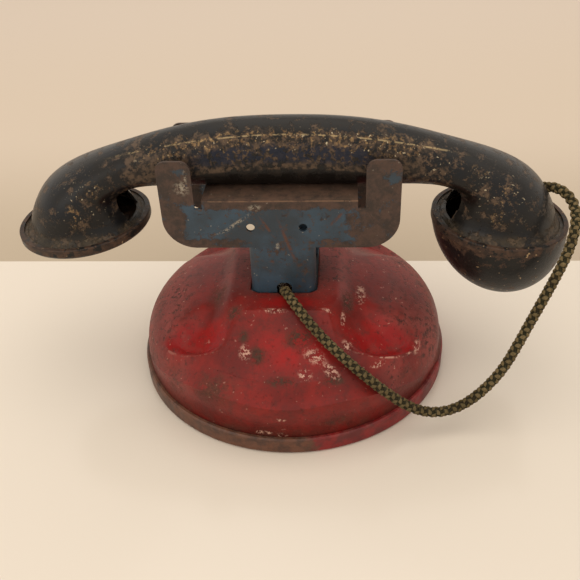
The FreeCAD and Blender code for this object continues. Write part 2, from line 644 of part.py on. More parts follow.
def striker_lever():
    """Flat lever on a sleeve: its tail meets the star wheel and its arm carries the hammer wire."""
    px, py = PIVOT_AT
    hx, hy = HAMMER_AT
    thickness = LEVER_TOP - LEVER_BOTTOM
    tail_length = math.hypot(px, py) - STAR_R - 0.4
    tail = Part.makeBox(tail_length, 1.8, thickness, V(0, -0.9, LEVER_BOTTOM))
    tail.rotate(V(0, 0, 0), Z_AXIS, math.degrees(math.atan2(-py, -px)))
    arm_length = math.hypot(hx - px, hy - py)
    arm = Part.makeBox(arm_length, 3.0, thickness, V(0, -1.5, LEVER_BOTTOM))
    arm = arm.fuse(Part.makeCylinder(1.5, thickness, V(arm_length, 0, LEVER_BOTTOM)))
    arm.rotate(V(0, 0, 0), Z_AXIS, math.degrees(math.atan2(hy - py, hx - px)))
    hub = Part.makeCylinder(2.2, 3.4, V(0, 0, LEVER_BOTTOM))
    lever = hub.fuse([tail, arm])
    lever = lever.cut(Part.makeCylinder(1.0 + RUNNING_GAP, 8.0, V(0, 0, LEVER_BOTTOM - 1.0)))
    lever = lever.cut(Part.makeCylinder(0.7, 4.0, V(hx - px, hy - py, LEVER_BOTTOM - 1.0)))
    return on_seat(lever.removeSplitter(), px, py)


def striker_wire():
    """Straight wire that carries the hammer beside the gong's rim."""
    return on_seat(Part.makeCylinder(0.7, LEVER_TOP + 21.0, V(0, 0, -21.0)), *HAMMER_AT)


def striker_hammer():
    """Small brass ball on the end of the wire."""
    ball = Part.makeSphere(HAMMER_R, V(0, 0, -22.0))
    return on_seat(ball.cut(Part.makeCylinder(0.7, 6.0, V(0, 0, -21.0))), *HAMMER_AT)


def striker_pivot_pin():
    """Pin riveted through the seat that the lever swings on."""
    low = LEVER_BOTTOM - 0.5
    return on_seat(turned([
        (0, low - 0.8), (2.0, low - 0.8), (2.0, low), (1.0, low), (1.0, 0), (0, 0),
    ]), *PIVOT_AT)


def striker_pivot_washer():
    """Washer that spaces the lever from the pin's head."""
    return on_seat(tube(1.9, 1.0, LEVER_BOTTOM - 0.5, LEVER_BOTTOM - 0.1), *PIVOT_AT)


def striker_spring():
    """Close coil of the return spring, round the pin between the seat and the lever."""
    coil_r = 1.8
    wire_r = 0.25
    pitch = 0.62
    helix = Part.makeHelix(pitch, 4 * pitch, coil_r)
    ring = Part.Wire([Part.Circle(V(coil_r, 0, 0), Y_AXIS, wire_r).toShape()])
    coil = Part.Wire(helix.Edges).makePipeShell([ring], True, True)
    coil.translate(V(0, 0, -4.3))
    return on_seat(coil, *PIVOT_AT)


# ---- Export ---------------------------------------------------------------------------------
def parts():
    """Every piece by its node name."""
    return {
        "base_shell": base_shell(),
        "base_pan": base_pan(),
        "cradle": cradle(),
        "neck_clamp_plate": neck_clamp_plate(),
        "handset_shell": handset_shell(),
        "earpiece_cap": earpiece_cap(),
        "mouthpiece_cup": mouthpiece_cup(),
        "cord": cord(),
        "cord_knot_base": cord_knot(CORD_ROUTE[0], CORD_ROUTE[1]),
        "cord_knot_handset": cord_knot(CORD_ROUTE[-1], CORD_ROUTE[-2]),
        "dial_number_plate": dial_number_plate(),
        "dial_bushing": dial_bushing(),
        "dial_finger_wheel": dial_finger_wheel(),
        "dial_hub_washer": dial_hub_washer(),
        "dial_spindle": dial_spindle(),
        "dial_spacer_sleeve": dial_spacer_sleeve(),
        "trip_star_wheel": trip_star_wheel(),
        "finger_stop": finger_stop(),
        "gong": gong(),
        "gong_post": gong_post(),
        "gong_nut": gong_nut(),
        "striker_lever": striker_lever(),
        "striker_wire": striker_wire(),
        "striker_hammer": striker_hammer(),
        "striker_pivot_pin": striker_pivot_pin(),
        "striker_pivot_washer": striker_pivot_washer(),
        "striker_spring": striker_spring(),
    }


def main():
    """Build every piece and write one STEP file for each."""
    os.makedirs("parts", exist_ok=True)
    for name, shape in parts().items():
        box = shape.BoundBox
        print("%-22s valid=%s solids=%d vol=%.1f z %.1f..%.1f" % (
            name, shape.isValid(), len(shape.Solids), shape.Volume, box.ZMin, box.ZMax))
        shape.exportStep("parts/%s.step" % name)


main()
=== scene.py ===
import bpy
import math
from mathutils import Matrix, Vector


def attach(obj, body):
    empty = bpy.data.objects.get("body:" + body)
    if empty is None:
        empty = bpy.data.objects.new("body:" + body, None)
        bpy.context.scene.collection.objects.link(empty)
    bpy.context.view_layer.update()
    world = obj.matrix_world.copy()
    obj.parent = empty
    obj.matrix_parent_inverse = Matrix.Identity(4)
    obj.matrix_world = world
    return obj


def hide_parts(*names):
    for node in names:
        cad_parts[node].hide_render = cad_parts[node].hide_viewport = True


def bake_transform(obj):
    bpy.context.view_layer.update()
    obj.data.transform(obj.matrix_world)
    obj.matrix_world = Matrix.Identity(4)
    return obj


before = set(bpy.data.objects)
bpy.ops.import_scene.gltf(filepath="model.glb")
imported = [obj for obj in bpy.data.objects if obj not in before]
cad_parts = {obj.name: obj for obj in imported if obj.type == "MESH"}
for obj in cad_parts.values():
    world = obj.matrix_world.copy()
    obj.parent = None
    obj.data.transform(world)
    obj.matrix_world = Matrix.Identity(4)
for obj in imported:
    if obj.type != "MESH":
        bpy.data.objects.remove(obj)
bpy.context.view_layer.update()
scene = bpy.context.scene
MM = 0.001


# ---- Camera ---------------------------------------------------------------------------------
CAMERA_PLACE = (17.26, -225.13, 188.54)     # millimetres
CAMERA_TURN = (-4.57, 35.88, -2.62)     # yaw, pitch down and roll, in degrees
CAMERA_LENS = 48.71


def make_camera():
    """Camera at the photograph's viewing angle."""
    yaw, pitch, roll = (math.radians(a) for a in CAMERA_TURN)
    forward = Vector((math.sin(yaw) * math.cos(pitch), math.cos(yaw) * math.cos(pitch), -math.sin(pitch)))
    level_right = Vector((math.cos(yaw), -math.sin(yaw), 0))
    level_up = level_right.cross(forward)
    right = math.cos(roll) * level_right + math.sin(roll) * level_up
    up = -math.sin(roll) * level_right + math.cos(roll) * level_up
    data = bpy.data.cameras.new("camera")
    data.lens = CAMERA_LENS
    data.sensor_width = 36
    data.clip_start = 0.01
    camera = bpy.data.objects.new("camera", data)
    turn = Matrix((right, up, -forward)).transposed().to_4x4()
    camera.matrix_world = Matrix.Translation(Vector(CAMERA_PLACE) * MM) @ turn
    scene.collection.objects.link(camera)
    scene.camera = camera


make_camera()


# ---- Cord -----------------------------------------------------------------------------------
# The CAD tube's route in millimetres, from the knot inside the base to the one inside the bell.
CORD_ROUTE = [
    (-1.7, -10.4, 27.6), (-1.7, -11.6, 32.0), (-1.3, -15.0, 36.2), (0.4, -20.4, 37.6), (3.4, -26.0, 37.1),
    (7.6, -31.2, 34.6), (12.0, -35.6, 32.0), (16.6, -39.2, 29.4), (21.4, -42.0, 26.2), (26.6, -43.8, 22.2),
    (32.2, -44.4, 17.2), (38.2, -44.2, 12.0), (44.6, -43.4, 8.4), (51.4, -42.0, 7.6), (57.8, -40.4, 10.0),
    (63.6, -38.2, 14.6), (68.6, -35.6, 20.2), (72.6, -32.2, 26.6), (76.6, -28.0, 32.8), (79.8, -26.4, 40.5),
    (83.1, -23.5, 46.6), (85.9, -21.4, 53.5), (88.5, -16.8, 58.2), (90.2, -10.6, 61.5), (89.8, -4.8, 63.8),
    (87.3, -0.6, 65.1), (83.6, 1.6, 65.2), (80.0, 2.4, 64.2),
]
STRANDS_EACH_WAY = 3
BRAID_LEAD = 8.7            # length of one turn of a strand round the cord
BRAID_STEP = 0.25
STRAND_R = 1.10             # middle of a strand from the cord's centre, before it rises or dips
STRAND_RISE = 0.22
STRAND_HALF_WIDTH = 0.64
STRAND_SPREAD = 0.17        # a strand is this much wider where it rises
STRAND_SWAY = 0.24          # how far, in radians, a strand leaves its even spiral as it crosses
STRAND_HALF_THICK = 0.46
STRAND_SIDES = 8
OVER_LIFT = 0.18            # a strand takes the light yarn where it is lifted more than this, and the darker yarn, as painted shade, where it dips
CORE_R = 1.05
CORE_SIDES = 10


def cord_line():
    """Evenly spaced points along the cord's centre, in millimetres."""
    curve = bpy.data.curves.new("cord_line", "CURVE")
    curve.dimensions = "3D"
    spline = curve.splines.new("NURBS")
    spline.points.add(len(CORD_ROUTE) - 1)
    for point, place in zip(spline.points, CORD_ROUTE):
        point.co = (*place, 1)
    spline.order_u = 3
    spline.use_endpoint_u = True
    spline.resolution_u = 24
    holder = bpy.data.objects.new("cord_line", curve)
    mesh = bpy.data.meshes.new_from_object(holder)
    fine = [v.co.copy() for v in mesh.vertices]
    bpy.data.objects.remove(holder)
    bpy.data.curves.remove(curve)
    bpy.data.meshes.remove(mesh)
    line, run = [fine[0]], 0.0
    for a, b in zip(fine, fine[1:]):
        span = (b - a).length
        while run + span >= BRAID_STEP:
            a = a.lerp(b, (BRAID_STEP - run) / span)
            span = (b - a).length
            line.append(a)
            run = 0.0
        run += span
    return line


def carried_frames(line):
    """Tangent and two side axes at each point, turning as little as possible along the line."""
    frames, side = [], Vector((1, 0, 0))
    for i in range(len(line)):
        tangent = (line[min(i + 1, len(line) - 1)] - line[max(i - 1, 0)]).normalized()
        side = (side - tangent * side.dot(tangent)).normalized()
        frames.append((side, tangent.cross(side)))
    return frames


def add_tube(rings, verts, faces, slots, slot_of):
    """Join rings of points into a tube with closed ends."""
    start, sides = len(verts), len(rings[0])
    for ring in rings:
        verts.extend(ring)
    for i in range(len(rings) - 1):
        for j in range(sides):
            a = start + i * sides + j
            b = start + i * sides + (j + 1) % sides
            faces.append((a, b, b + sides, a + sides))
            slots.append(slot_of(i))
    last = start + (len(rings) - 1) * sides
    faces.append(tuple(range(start, start + sides))[::-1])
    faces.append(tuple(range(last, last + sides)))
    slots.extend((slot_of(0), slot_of(0)))


def strand_rings(line, frames, index, way):
    """Rings of one strand, which lies further out and runs straighter where it passes over."""
    rings, over = [], []
    for i, (place, (side, out)) in enumerate(zip(line, frames)):
        wave = 6 * math.pi * i * BRAID_STEP / BRAID_LEAD
        lift = way * math.cos(wave)
        start = 2 * math.pi * index / STRANDS_EACH_WAY
        angle = way * (wave / 3 - way * STRAND_SWAY * math.sin(wave)) + start
        radial = side * math.cos(angle) + out * math.sin(angle)
        around = out * math.cos(angle) - side * math.sin(angle)
        centre = place + radial * (STRAND_R + STRAND_RISE * lift)
        wide = STRAND_HALF_WIDTH + STRAND_SPREAD * lift
        ring = []
        for j in range(STRAND_SIDES):
            turn = 2 * math.pi * j / STRAND_SIDES
            across = around * wide * math.cos(turn) + radial * STRAND_HALF_THICK * math.sin(turn)
            ring.append((centre + across) * MM)
        rings.append(ring)
        over.append(lift > OVER_LIFT)
    return rings, over


def core_rings(line, frames):
    """Rings of the round core under the strands."""
    turns = [2 * math.pi * j / CORE_SIDES for j in range(CORE_SIDES)]
    rings = []
    for place, (side, out) in list(zip(line, frames))[::2]:
        rings.append([(place + CORE_R * (side * math.cos(t) + out * math.sin(t))) * MM for t in turns])
    return rings


def braided_cord():
    """Round braid of light strands, painted darker as shade where they dip, over a core of the same darker
    yarn.
    """
    line = cord_line()
    frames = carried_frames(line)
    verts, faces, slots = [], [], []
    for way in (-1, 1):
        for index in range(STRANDS_EACH_WAY):
            rings, over = strand_rings(line, frames, index, way)
            add_tube(rings, verts, faces, slots, lambda i: 0 if over[i] else 1)
    add_tube(core_rings(line, frames), verts, faces, slots, lambda i: 1)
    mesh = bpy.data.meshes.new("braided_cord")
    mesh.from_pydata(verts, [], faces)
    mesh.polygons.foreach_set("material_index", slots)
    mesh.polygons.foreach_set("use_smooth", [True] * len(faces))
    cord = bpy.data.objects.new("braided_cord", mesh)
    scene.collection.objects.link(cord)
    return cord, [p * MM for p in line]


# ---- Base shell -----------------------------------------------------------------------------
# Lengths are in millimetres.
DOME_R = 52.6
DOME_SPRING_Z = 6.0
DOME_TOP_Z = 33.5
NECK_X = -1.7
PLATEAU_Z = 35.0
PLATEAU_HALF_X = 11.5       # half sizes of the plateau's core, before its rounding
PLATEAU_HALF_Y = 15.7
PLATEAU_ROUND = 9.0
SEAT_TILT = math.radians(38.0)
SEAT_CENTRE = Vector((0, 36.8, 25.5))
SEAT_R = 20.0
RIM_GATHER = 0.8            # points this near the seat's rim are drawn on to it
SCREW_HOLE_R = 3.4          # hole in the middle of the seat, for the dial's bushing
HIP_SLOPE = 0.62            # fall of the plateau's sides
FACET_TOP_Y = 24.7          # the flat facet at the front starts at the plateau's edge
FACET_FOOT_R = 46.3         # and runs down to a crease on this circle
FACET_FOOT_Z = 23.3
FACET_HALF_WIDTH = 14.0
SCOOP_R = 39.6              # middle of the four pressed hollows
SCOOP_ANGLE = math.radians(44.0)
SCOOP_DEPTH = 3.4
SCOOP_RIM = (7.6, 0.40, 0.018)  # the rim's distance beyond SCOOP_R, its slant and its bend
HOLE_HALF_X = 11.2          # half sizes of the neck hole
HOLE_HALF_Y = 15.1
HOLE_CORNER = 17.4
BAY_X = 0.4                 # the cord's bay in the neck hole, from the neck's axis
BAY_Y = -14.2
BAY_R = 2.4
FOOT_TOP_Z = 8.8            # the shell flares below this height
FOOT_Z = 0.8
SHEET = 0.8
FOOT_FLARE = 0.021          # share by which the shell spreads where it meets the foot band
SPOKES = 300
ROWS = 170


def ease(value, low, high):
    """0 below low and 1 above high, with a smooth ramp between them."""
    t = min(max((value - low) / (high - low), 0.0), 1.0)
    return t * t * (3 - 2 * t)


def soft_over(value, softness):
    """About max(value, 0), rounded over a length of about softness."""
    t = value / softness
    return value if t > 30 else softness * math.log1p(math.exp(t))


def dome_z(r):
    """Height of the plain round dome."""
    return DOME_SPRING_Z + (DOME_TOP_Z - DOME_SPRING_Z) * max(1 - (r / DOME_R) ** 2.22, 0.0) ** (1 / 3.03)


def scoop_depth(x, y):
    """Depth of the hollow pressed into each corner: it deepens outwards and ends in a crisp rim."""
    out = math.hypot(x, y) - SCOOP_R
    across = SCOOP_R * (math.atan2(abs(y), abs(x)) - SCOOP_ANGLE)
    rim_out, slant, bend = SCOOP_RIM
    rim = rim_out - slant * across - bend * across * across
    rise = ease(out, -17.0, 1.5)
    fall = min(max((rim - out) / SCOOP_DEPTH, 0.0), 1.0)
    sides = 1 - ease(abs(across), 2.5, 12.5)
    return SCOOP_DEPTH * rise * fall * sides


def shell_z(x, y):
    """Height of the shell's outer face, without the dial seat."""
    r = math.hypot(x, y)
    dome = dome_z(r)
    beyond_x = max(abs(x - NECK_X) - PLATEAU_HALF_X, 0.0) * 1.35
    beyond_y = max(abs(y) - PLATEAU_HALF_Y, 0.0)
    hip = PLATEAU_Z - HIP_SLOPE * soft_over(math.hypot(beyond_x, beyond_y) - PLATEAU_ROUND, 0.7)
    z = dome + soft_over(hip - dome, 0.5)
    if -FACET_FOOT_R < y < -22.0 and r < FACET_FOOT_R:
        foot_y = math.sqrt(FACET_FOOT_R ** 2 - x * x)
        share = min(max((-y - FACET_TOP_Y) / (foot_y - FACET_TOP_Y), 0.0), 1.0)
        facet = PLATEAU_Z - (PLATEAU_Z - FACET_FOOT_Z) * share - 2.4 * share * (1 - share)
        half_width = FACET_HALF_WIDTH + 0.36 * max(-y - FACET_TOP_Y, 0.0)
        beside = abs(x - NECK_X - 0.6) - half_width
        z = facet if beside < 0 else max(z, facet - 0.9 * beside)
    return z - scoop_depth(x, y)


def hole_reach(angle):
    """Distance from the neck's axis to the edge of its hole, with the cord's round bay at the front."""
    c, s = math.cos(angle), math.sin(angle)
    reach = min(HOLE_HALF_X / max(abs(c), 1e-6), HOLE_HALF_Y / max(abs(s), 1e-6), HOLE_CORNER)
    along = BAY_X * c + BAY_Y * s
    inside = BAY_R ** 2 - (BAY_X * s - BAY_Y * c) ** 2
    if along > 0 and inside > 0:
        reach = max(reach, along + math.sqrt(inside))
    return reach


def seated(point):
    """Flatten what lies within the dial seat's rim on to its plane, and even out the rim."""
    tilt = Matrix.Rotation(-SEAT_TILT, 3, "X")
    local = tilt.transposed() @ (point - SEAT_CENTRE)
    reach = math.hypot(local.x, local.y)
    beyond = reach - SEAT_R
    if local.z < -9.0 or beyond > RIM_GATHER:
        return point
    if beyond > -RIM_GATHER:
        edge = SEAT_R + 0.1 * beyond + (0.08 if beyond > 0 else 0.0)
        local.x *= edge / reach
        local.y *= edge / reach
    if beyond < 0:
        local.z = 0.0
    return tilt @ local + SEAT_CENTRE


def base_verts():
    """Points of the shell's outer face, one column for each spoke from the neck hole to the foot."""
    verts = []
    for i in range(SPOKES):
        angle = 2 * math.pi * i / SPOKES
        way = Vector((math.cos(angle), math.sin(angle), 0))
        inner = Vector((NECK_X, 0, 0)) + way * hole_reach(angle)
        outer = way * DOME_R
        for j in range(ROWS + 1):
            share = 1 - (1 - j / ROWS) ** 2.6
            spot = inner.lerp(outer, share)
            spot.z = shell_z(spot.x, spot.y)
            spot = seated(spot)
            flare = 1 + FOOT_FLARE * max((FOOT_TOP_Z - spot.z) / (FOOT_TOP_Z - DOME_SPRING_Z), 0.0) ** 2
            verts.append(Vector((spot.x * flare, spot.y * flare, spot.z)))
        verts.append(Vector((outer.x, outer.y, FOOT_Z)))
    return verts


def base_skin():
    """Shell over the base, from the neck hole out to its foot, with the dial seat let in."""
    verts, faces = base_verts(), []
    column = ROWS + 2
    for i in range(SPOKES):
        for j in range(column - 1):
            a, b = i * column + j, (i + 1) % SPOKES * column + j
            middle = (verts[a] + verts[b + 1]) / 2
            if (middle - SEAT_CENTRE).length > SCREW_HOLE_R:
                faces.append((a, a + 1, b + 1, b))
    mesh = bpy.data.meshes.new("pressed_base")
    mesh.from_pydata([v * MM for v in verts], [], faces)
    mesh.polygons.foreach_set("use_smooth", [True] * len(faces))
    mesh.set_sharp_from_angle(angle=math.radians(28))
    skin = bpy.data.objects.new("pressed_base", mesh)
    scene.collection.objects.link(skin)
    sheet = skin.modifiers.new("sheet", "SOLIDIFY")
    sheet.thickness = SHEET * MM
    sheet.offset = -1
    return skin


# ---- Dial numbers ---------------------------------------------------------------------------
FINGER_HOLES = 10
FINGER_STEP = 30            # degrees from one finger hole to the next
FINGER_R = 12.7
DIGIT_SIZE = 3.6
DIGIT_THICK = 0.03
DIGIT_Z = 0.44              # just above the number plate's face


def dial_numbers():
    """Flat digits on the number plate, one behind each finger hole."""
    seat = Matrix.Translation(SEAT_CENTRE * MM) @ Matrix.Rotation(-SEAT_TILT, 4, "X")
    digits = []
    for i in range(FINGER_HOLES):
        angle = math.radians(FINGER_STEP * (i - 1))
        number = (FINGER_HOLES - i) % FINGER_HOLES
        curve = bpy.data.curves.new("digit", "FONT")
        curve.body = str(number)
        curve.size = DIGIT_SIZE * MM
        curve.extrude = DIGIT_THICK * MM
        curve.align_x = "CENTER"
        curve.align_y = "CENTER"
        holder = bpy.data.objects.new("digit", curve)
        mesh = bpy.data.meshes.new_from_object(holder)
        bpy.data.objects.remove(holder)
        bpy.data.curves.remove(curve)
        spot = Vector((FINGER_R * math.cos(angle), -FINGER_R * math.sin(angle), DIGIT_Z)) * MM
        mesh.transform(seat @ Matrix.Translation(spot) @ Matrix.Rotation(math.pi, 4, "Z"))
        digit = bpy.data.objects.new(f"dial_digit_{number}", mesh)
        scene.collection.objects.link(digit)
        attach(digit, "base")
        digits.append(digit)
    return digits


# ---- Shader helpers -------------------------------------------------------------------------
def rgb(red, green, blue):
    """Linear colour, with alpha, from 0-255 display values."""
    def linear(value):
        value /= 255
        return value / 12.92 if value <= 0.04045 else ((value + 0.055) / 1.055) ** 2.4
    return (linear(red), linear(green), linear(blue), 1.0)


class Shader:
    """A material's node tree, with one short method for each kind of node used here."""

    def __init__(self, name, metallic=0.0, specular=0.5):
        self.material = bpy.data.materials.new(name)
        self.material.use_nodes = True
        self.tree = self.material.node_tree
        self.tree.nodes.clear()
        self.shader = self.tree.nodes.new("ShaderNodeBsdfPrincipled")
        output = self.tree.nodes.new("ShaderNodeOutputMaterial")
        self.tree.links.new(self.shader.outputs[0], output.inputs[0])
        self.shader.inputs["Metallic"].default_value = metallic
        self.shader.inputs["Specular IOR Level"].default_value = specular
        self.place = self.tree.nodes.new("ShaderNodeTexCoord").outputs["Object"]

    def feed(self, socket, value):
        """Link a node's output to a socket, or set the socket to a plain value."""
        if isinstance(value, bpy.types.NodeSocket):
            self.tree.links.new(value, socket)
        else:
            socket.default_value = value

    def noise(self, size_mm, detail=4.0, roughness=0.6, seed=0.0, stretch=(1, 1, 1)):
        """Noise from 0 to 1 whose features are about size_mm across."""
        node = self.tree.nodes.new("ShaderNodeTexNoise")
        node.noise_dimensions = "4D"
        node.inputs["W"].default_value = seed
        node.inputs["Scale"].default_value = 1000.0 / size_mm
        node.inputs["Detail"].default_value = detail
        node.inputs["Roughness"].default_value = roughness
        spread = self.tree.nodes.new("ShaderNodeMapping")
        spread.inputs["Scale"].default_value = [1 / s for s in stretch]
        self.feed(spread.inputs["Vector"], self.place)
        self.feed(node.inputs["Vector"], spread.outputs[0])
        return node.outputs["Fac"]

    def fade(self, value, low, high, out_low=0.0, out_high=1.0):
        """Map a value from low..high to out_low..out_high, smoothly and held at both ends."""
        node = self.tree.nodes.new("ShaderNodeMapRange")
        node.interpolation_type = "SMOOTHSTEP"
        self.feed(node.inputs["Value"], value)
        limits = {"From Min": low, "From Max": high, "To Min": out_low, "To Max": out_high}
        for socket, number in limits.items():
            node.inputs[socket].default_value = number
        return node.outputs[0]

    def specks(self, low, high, *noise):
        """Noise made into patches: 0 where it is below low and 1 where it is above high."""
        return self.fade(self.noise(*noise), low, high)

    def math(self, operation, first, second=0.0):
        """One arithmetic step."""
        node = self.tree.nodes.new("ShaderNodeMath")
        node.operation = operation
        self.feed(node.inputs[0], first)
        self.feed(node.inputs[1], second)
        return node.outputs[0]

    def plus(self, first, second):
        """The sum of two values."""
        return self.math("ADD", first, second)

    def minus(self, first, second):
        """The first value less the second."""
        return self.math("SUBTRACT", first, second)

    def apart(self, value, centre=0.0):
        """How far a value is from a centre."""
        return self.math("ABSOLUTE", self.minus(value, centre))

    def times(self, first, *others):
        """The product of several values."""
        for other in others:
            first = self.math("MULTIPLY", first, other)
        return first

    def most(self, first, *others):
        """The largest of several values."""
        for other in others:
            first = self.math("MAXIMUM", first, other)
        return first

    def mix(self, amount, first, second):
        """Blend two colours."""
        node = self.tree.nodes.new("ShaderNodeMix")
        node.data_type = "RGBA"
        self.feed(node.inputs["Factor"], amount)
        self.feed(node.inputs[6], first)
        self.feed(node.inputs[7], second)
        return node.outputs[2]

    def ball(self, centre_mm, radii_mm, softness=0.5, tilt=0.0):
        """1 inside an ellipsoid, fading to 0 at its surface; tilt turns it about Y, in degrees."""
        shift = self.tree.nodes.new("ShaderNodeMapping")
        shift.inputs["Scale"].default_value = (1000.0, 1000.0, 1000.0)
        shift.inputs["Location"].default_value = [-c for c in centre_mm]
        self.feed(shift.inputs["Vector"], self.place)
        shape = self.tree.nodes.new("ShaderNodeMapping")
        shape.vector_type = "TEXTURE"
        shape.inputs["Scale"].default_value = radii_mm
        shape.inputs["Rotation"].default_value = (0, math.radians(tilt), 0)
        self.feed(shape.inputs["Vector"], shift.outputs[0])
        length = self.tree.nodes.new("ShaderNodeVectorMath")
        length.operation = "LENGTH"
        self.feed(length.inputs[0], shape.outputs[0])
        return self.fade(length.outputs["Value"], 1.0, 1.0 - softness)

    def balls(self, patches, softness=0.6):
        """The union of several ellipsoids, each (centre, radii) or (centre, radii, tilt)."""
        return self.most(*[self.ball(p[0], p[1], softness, *p[2:]) for p in patches])

    def axis(self, name):
        """One object coordinate, in millimetres."""
        node = self.tree.nodes.new("ShaderNodeSeparateXYZ")
        self.feed(node.inputs[0], self.place)
        return self.math("MULTIPLY", node.outputs[name], 1000.0)

    def finish(self, colour, roughness, height=None, height_mm=0.1):
        """Feed the principled shader, with bump from a height where one is given."""
        self.feed(self.shader.inputs["Base Color"], colour)
        self.feed(self.shader.inputs["Roughness"], roughness)
        if height is not None:
            bump = self.tree.nodes.new("ShaderNodeBump")
            bump.inputs["Distance"].default_value = height_mm * MM
            self.feed(bump.inputs["Height"], height)
            self.feed(self.shader.inputs["Normal"], bump.outputs[0])
        return self.material


# ---- Materials ------------------------------------------------------------------------------
# Where wear lies: (centre, radii) in millimetres, and a tilt about Y in degrees where a patch slants.
RED_BRIGHT = [((31, -25, 27), (10, 10, 8)), ((-26, -28, 28), (9, 9, 7)), ((2, -37, 28), (20, 10, 9)),
              ((0, -20, 35), (12, 5, 3))]
RED_TOP = [((0, 4, 34), (40, 26, 14))]
RED_RUST = [((-22, -45, 19), (13, 9, 8)), ((-34, -33, 14), (12, 12, 8)), ((-44, -18, 12), (10, 14, 7)),
            ((0, -12, 36), (21, 11, 4)), ((15, -49, 11), (10, 6, 3)), ((-24, -12, 32), (6, 9, 5)),
            ((34, -30, 16), (9, 9, 4))]
RED_SPOTS = [((-13.7, -31.5, 29.4), (2.6, 4, 3)), ((-1, -46, 23.2), (7, 3, 2.2)),
             ((15.5, -44.5, 22.8), (6, 3, 2)), ((-9, -38, 27), (4, 6, 4)), ((4, -33, 30), (7, 6, 4)),
             ((-17, -24, 33), (5, 4, 4)), ((20, -17, 33), (4, 9, 4))]
RED_CHIPS = [((8.6, -38.5, 27.6), (5.5, 4, 2.6), 25), ((14.0, -42, 24.6), (5.5, 4, 1.6), 34),
             ((6.2, -44.1, 24.6), (3, 3, 2.4)), ((18.0, -25, 31.5), (1.0, 5, 3)),
             ((-13, -37, 27.6), (2.6, 4, 3)), ((24, -11, 31.6), (2.2, 7, 2.4)),
             ((19.5, -33.5, 27.5), (3, 3, 1.6), 40), ((42.4, -25, 20.4), (3.4, 4, 1.8), -50),
             ((29.7, -37, 22.8), (5, 3, 0.9)), ((-7, -52.2, 7.6), (6, 3, 1.0)),
             ((-1, -52.6, 6.9), (2.2, 3, 1.2)), ((-1.5, -52, 13.4), (3, 3, 0.8)),
             ((-4.5, -24.6, 34.6), (6, 1.3, 1.2)), ((14, -24.2, 34.6), (5, 1.3, 1.2))]
BLUE_LEFT = [((-32, -14, 79), (4, 6, 3)), ((33, -14, 77), (4, 6, 4)), ((-27, -14, 61), (6, 6, 4))]
BLUE_STREAKS = [((0.4, -14, 54), (0.9, 8, 12), -18), ((-6, -14, 60), (0.7, 8, 6), -30),
                ((16, -14, 63), (0.8, 8, 5), 40), ((-4, -14, 47), (2.5, 8, 0.8))]
BLUE_PALE = [((-15.5, -14, 61.5), (8.5, 8, 0.9), -36), ((-20, -14, 58.4), (4, 8, 0.8), -20),
             ((-9.5, -14, 67), (3, 8, 1.6)), ((-31.5, -14, 74), (3.4, 8, 3.4)),
             ((-3, -14, 53), (1.0, 8, 1.9)), ((-30, -14, 78), (0.8, 8, 3))]
BLACK_BELLS = [((-64, -15, 68), (13, 14, 15)), ((66, -15, 70), (13, 14, 14)), ((44, -9, 79), (13, 9, 9))]
BLACK_GOLD = [((-60, -16, 73), (5, 9, 6)), ((-66, -17, 66), (5, 8, 8)), ((60, -13, 79), (9, 8, 6)),
              ((67, -17, 72), (8, 9, 8)), ((65, -19, 64), (4, 8, 5))]


def hollow_marks(s, x, y):
    """Masks for the pressed hollows at the front: their floor, and their bare rim."""
    rim_out, slant, bend = SCOOP_RIM
    out = s.minus(s.math("SQRT", s.plus(s.times(x, x), s.times(y, y))), SCOOP_R)
    turn = s.math("ARCTAN2", s.times(y, -1.0), s.apart(x))
    across = s.times(s.minus(turn, SCOOP_ANGLE), SCOOP_R)
    curve = s.plus(s.times(across, slant), s.times(across, across, bend))
    inside = s.minus(s.minus(rim_out, curve), out)
    near = s.fade(s.apart(across), 11.0, 7.0)
    hollow = s.times(s.fade(inside, 0.0, 1.0), s.fade(inside, 13.0, 8.0), near,
                     s.specks(0.36, 0.5, 5, 5, 0.65, 27))
    crease = s.times(s.fade(s.apart(inside), 0.55, 0.15), near, s.fade(x, -5.0, 5.0, 0.3, 1.0),
                     s.specks(0.48, 0.56, 2.4, 5, 0.7, 29))
    return hollow, crease


def red_paint(s, cloudy):
    """The red before it rusts, with masks for its paler, pinker shoulders and top and for the bare rims of
    its hollows.
    """
    x, y, z = s.axis("X"), s.axis("Y"), s.axis("Z")
    colour = s.mix(s.fade(cloudy, 0.38, 0.62), rgb(134, 34, 28), rgb(104, 31, 27))
    bright = s.balls(RED_BRIGHT, 0.8)
    colour = s.mix(s.times(bright, s.specks(0.3, 0.55, 8, 3, 0.5, 11)), colour, rgb(152, 22, 19))
    # Paler, pinker red towards the dome's left and right shoulders and on its top.
    outwards = s.fade(s.apart(x, -1.0), 26.0, 41.0)
    top = s.balls(RED_TOP, 0.8)
    pale_shoulders_and_top = s.times(s.most(outwards, top), s.specks(0.3, 0.66, 18, 6, 0.7, 7), s.fade(z, 8.0, 18.0))
    colour = s.mix(s.times(pale_shoulders_and_top, 0.75), colour, rgb(150, 84, 77))
    hollow, crease = hollow_marks(s, x, y)
    colour = s.mix(s.times(hollow, 0.8), colour, rgb(142, 13, 14))
    return colour, pale_shoulders_and_top, crease


